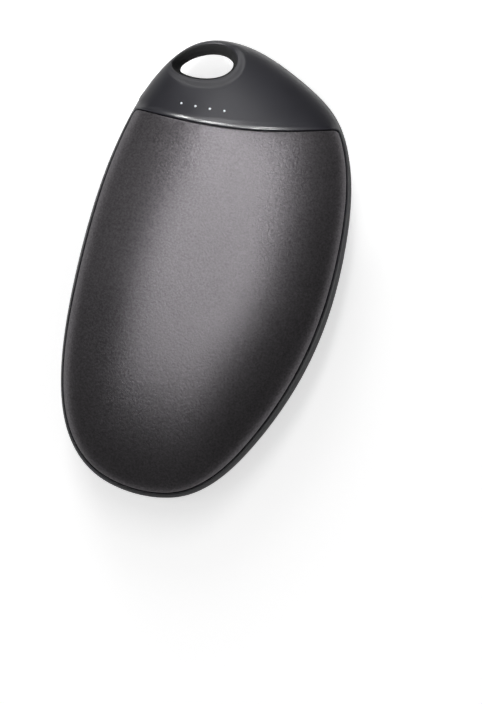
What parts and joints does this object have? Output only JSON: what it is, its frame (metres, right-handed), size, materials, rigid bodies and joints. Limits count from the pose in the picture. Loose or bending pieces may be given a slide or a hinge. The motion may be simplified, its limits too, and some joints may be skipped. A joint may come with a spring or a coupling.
{
  "type": "hand warmer",
  "caption": "Pebble-shaped rechargeable hand warmer: satin metal heating panels set in a black moulding, oval lanyard eye, row of status lights, sprung side button, ports behind a rubber flap",
  "frame": {"origin": "middle of the body's box in plan, at the level of the rear panel's crest, on which it lies", "axes": "+Z out of the front face with the lights, +Y toward the end with the lanyard eye, +X to the right seen from the front"},
  "size_m": [0.065, 0.117, 0.028],
  "materials": {
    "cap_plastic": "satin moulding",
    "panel_metal": "satin anodised",
    "bond_tape": "matte",
    "heater_film": "polyimide film",
    "cell_wrap": "shrink wrap",
    "cradle_plastic": "matte",
    "nickel_strip": "bright",
    "foam": "closed-cell foam",
    "board_laminate": "solder mask",
    "chip_plastic": "matte",
    "ferrite": "matte",
    "capacitor_ceramic": "ceramic",
    "socket_plastic": "moulded",
    "led_body": "moulded",
    "light_pipe_plastic": "clear",
    "socket_steel": "plated",
    "tongue_white": "moulded",
    "tongue_black": "moulded",
    "switch_body": "moulded",
    "switch_tip": "moulded",
    "button_plastic": "satin-gloss moulding",
    "cover_rubber": "matte",
    "screw_steel": "zinc plated",
    "wire_red": "insulation",
    "wire_black": "insulation",
    "sensor_blue": "epoxy"
  },
  "bodies": {
    "housing": {"front_case": "cap_plastic", "rear_case": "cap_plastic", "front_panel": "panel_metal", "rear_panel": "panel_metal", "front_tape": "bond_tape", "rear_tape": "bond_tape", "front_heater": "heater_film", "rear_heater": "heater_film", "cell_left": "cell_wrap", "cell_right": "cell_wrap", "cell_cradle": "cradle_plastic", "top_strip": "nickel_strip", "bottom_strip": "nickel_strip", "front_pad": "foam", "rear_pad": "foam", "main_board": "board_laminate", "controller_chip": "chip_plastic", "boost_inductor": "ferrite", "filter_capacitors": "capacitor_ceramic", "heater_sockets": "socket_plastic", "status_leds": "led_body", "light_pipe": "light_pipe_plastic", "usb_a_socket": "socket_steel", "usb_a_tongue": "tongue_white", "usb_c_socket": "socket_steel", "usb_c_tongue": "tongue_black", "tact_switch": "switch_body", "cover_anchor": "cover_rubber", "case_screws": "screw_steel", "positive_lead": "wire_red", "negative_lead": "wire_black", "thermistor": "sensor_blue"},
    "power_button": {"power_button": "button_plastic"},
    "switch_plunger": {"switch_plunger": "switch_tip"},
    "port_cover": {"port_cover": "cover_rubber"}
  },
  "joints": [
    {"name": "power_button_press", "type": "slide", "parent": "housing", "child": "power_button", "axis": [0.9287, -0.3708, 0], "range_m": [0, 0.0003], "stiffness_N_per_m": 2500},
    {"name": "switch_plunger_press", "type": "slide", "parent": "housing", "child": "switch_plunger", "axis": [0.9287, -0.3708, 0], "range_m": [0, 0.0003]},
    {"name": "port_cover_hinge", "type": "hinge", "parent": "housing", "child": "port_cover", "pos_m": [0.02542, 0.04148, 0.014], "axis": [0, 0, -1], "range_deg": [0, 110], "stiffness_Nm_per_rad": 0.002}
  ],
  "couplings": [
    {"joint": "switch_plunger_press", "follows": "power_button_press", "ratio": 1}
  ]
}
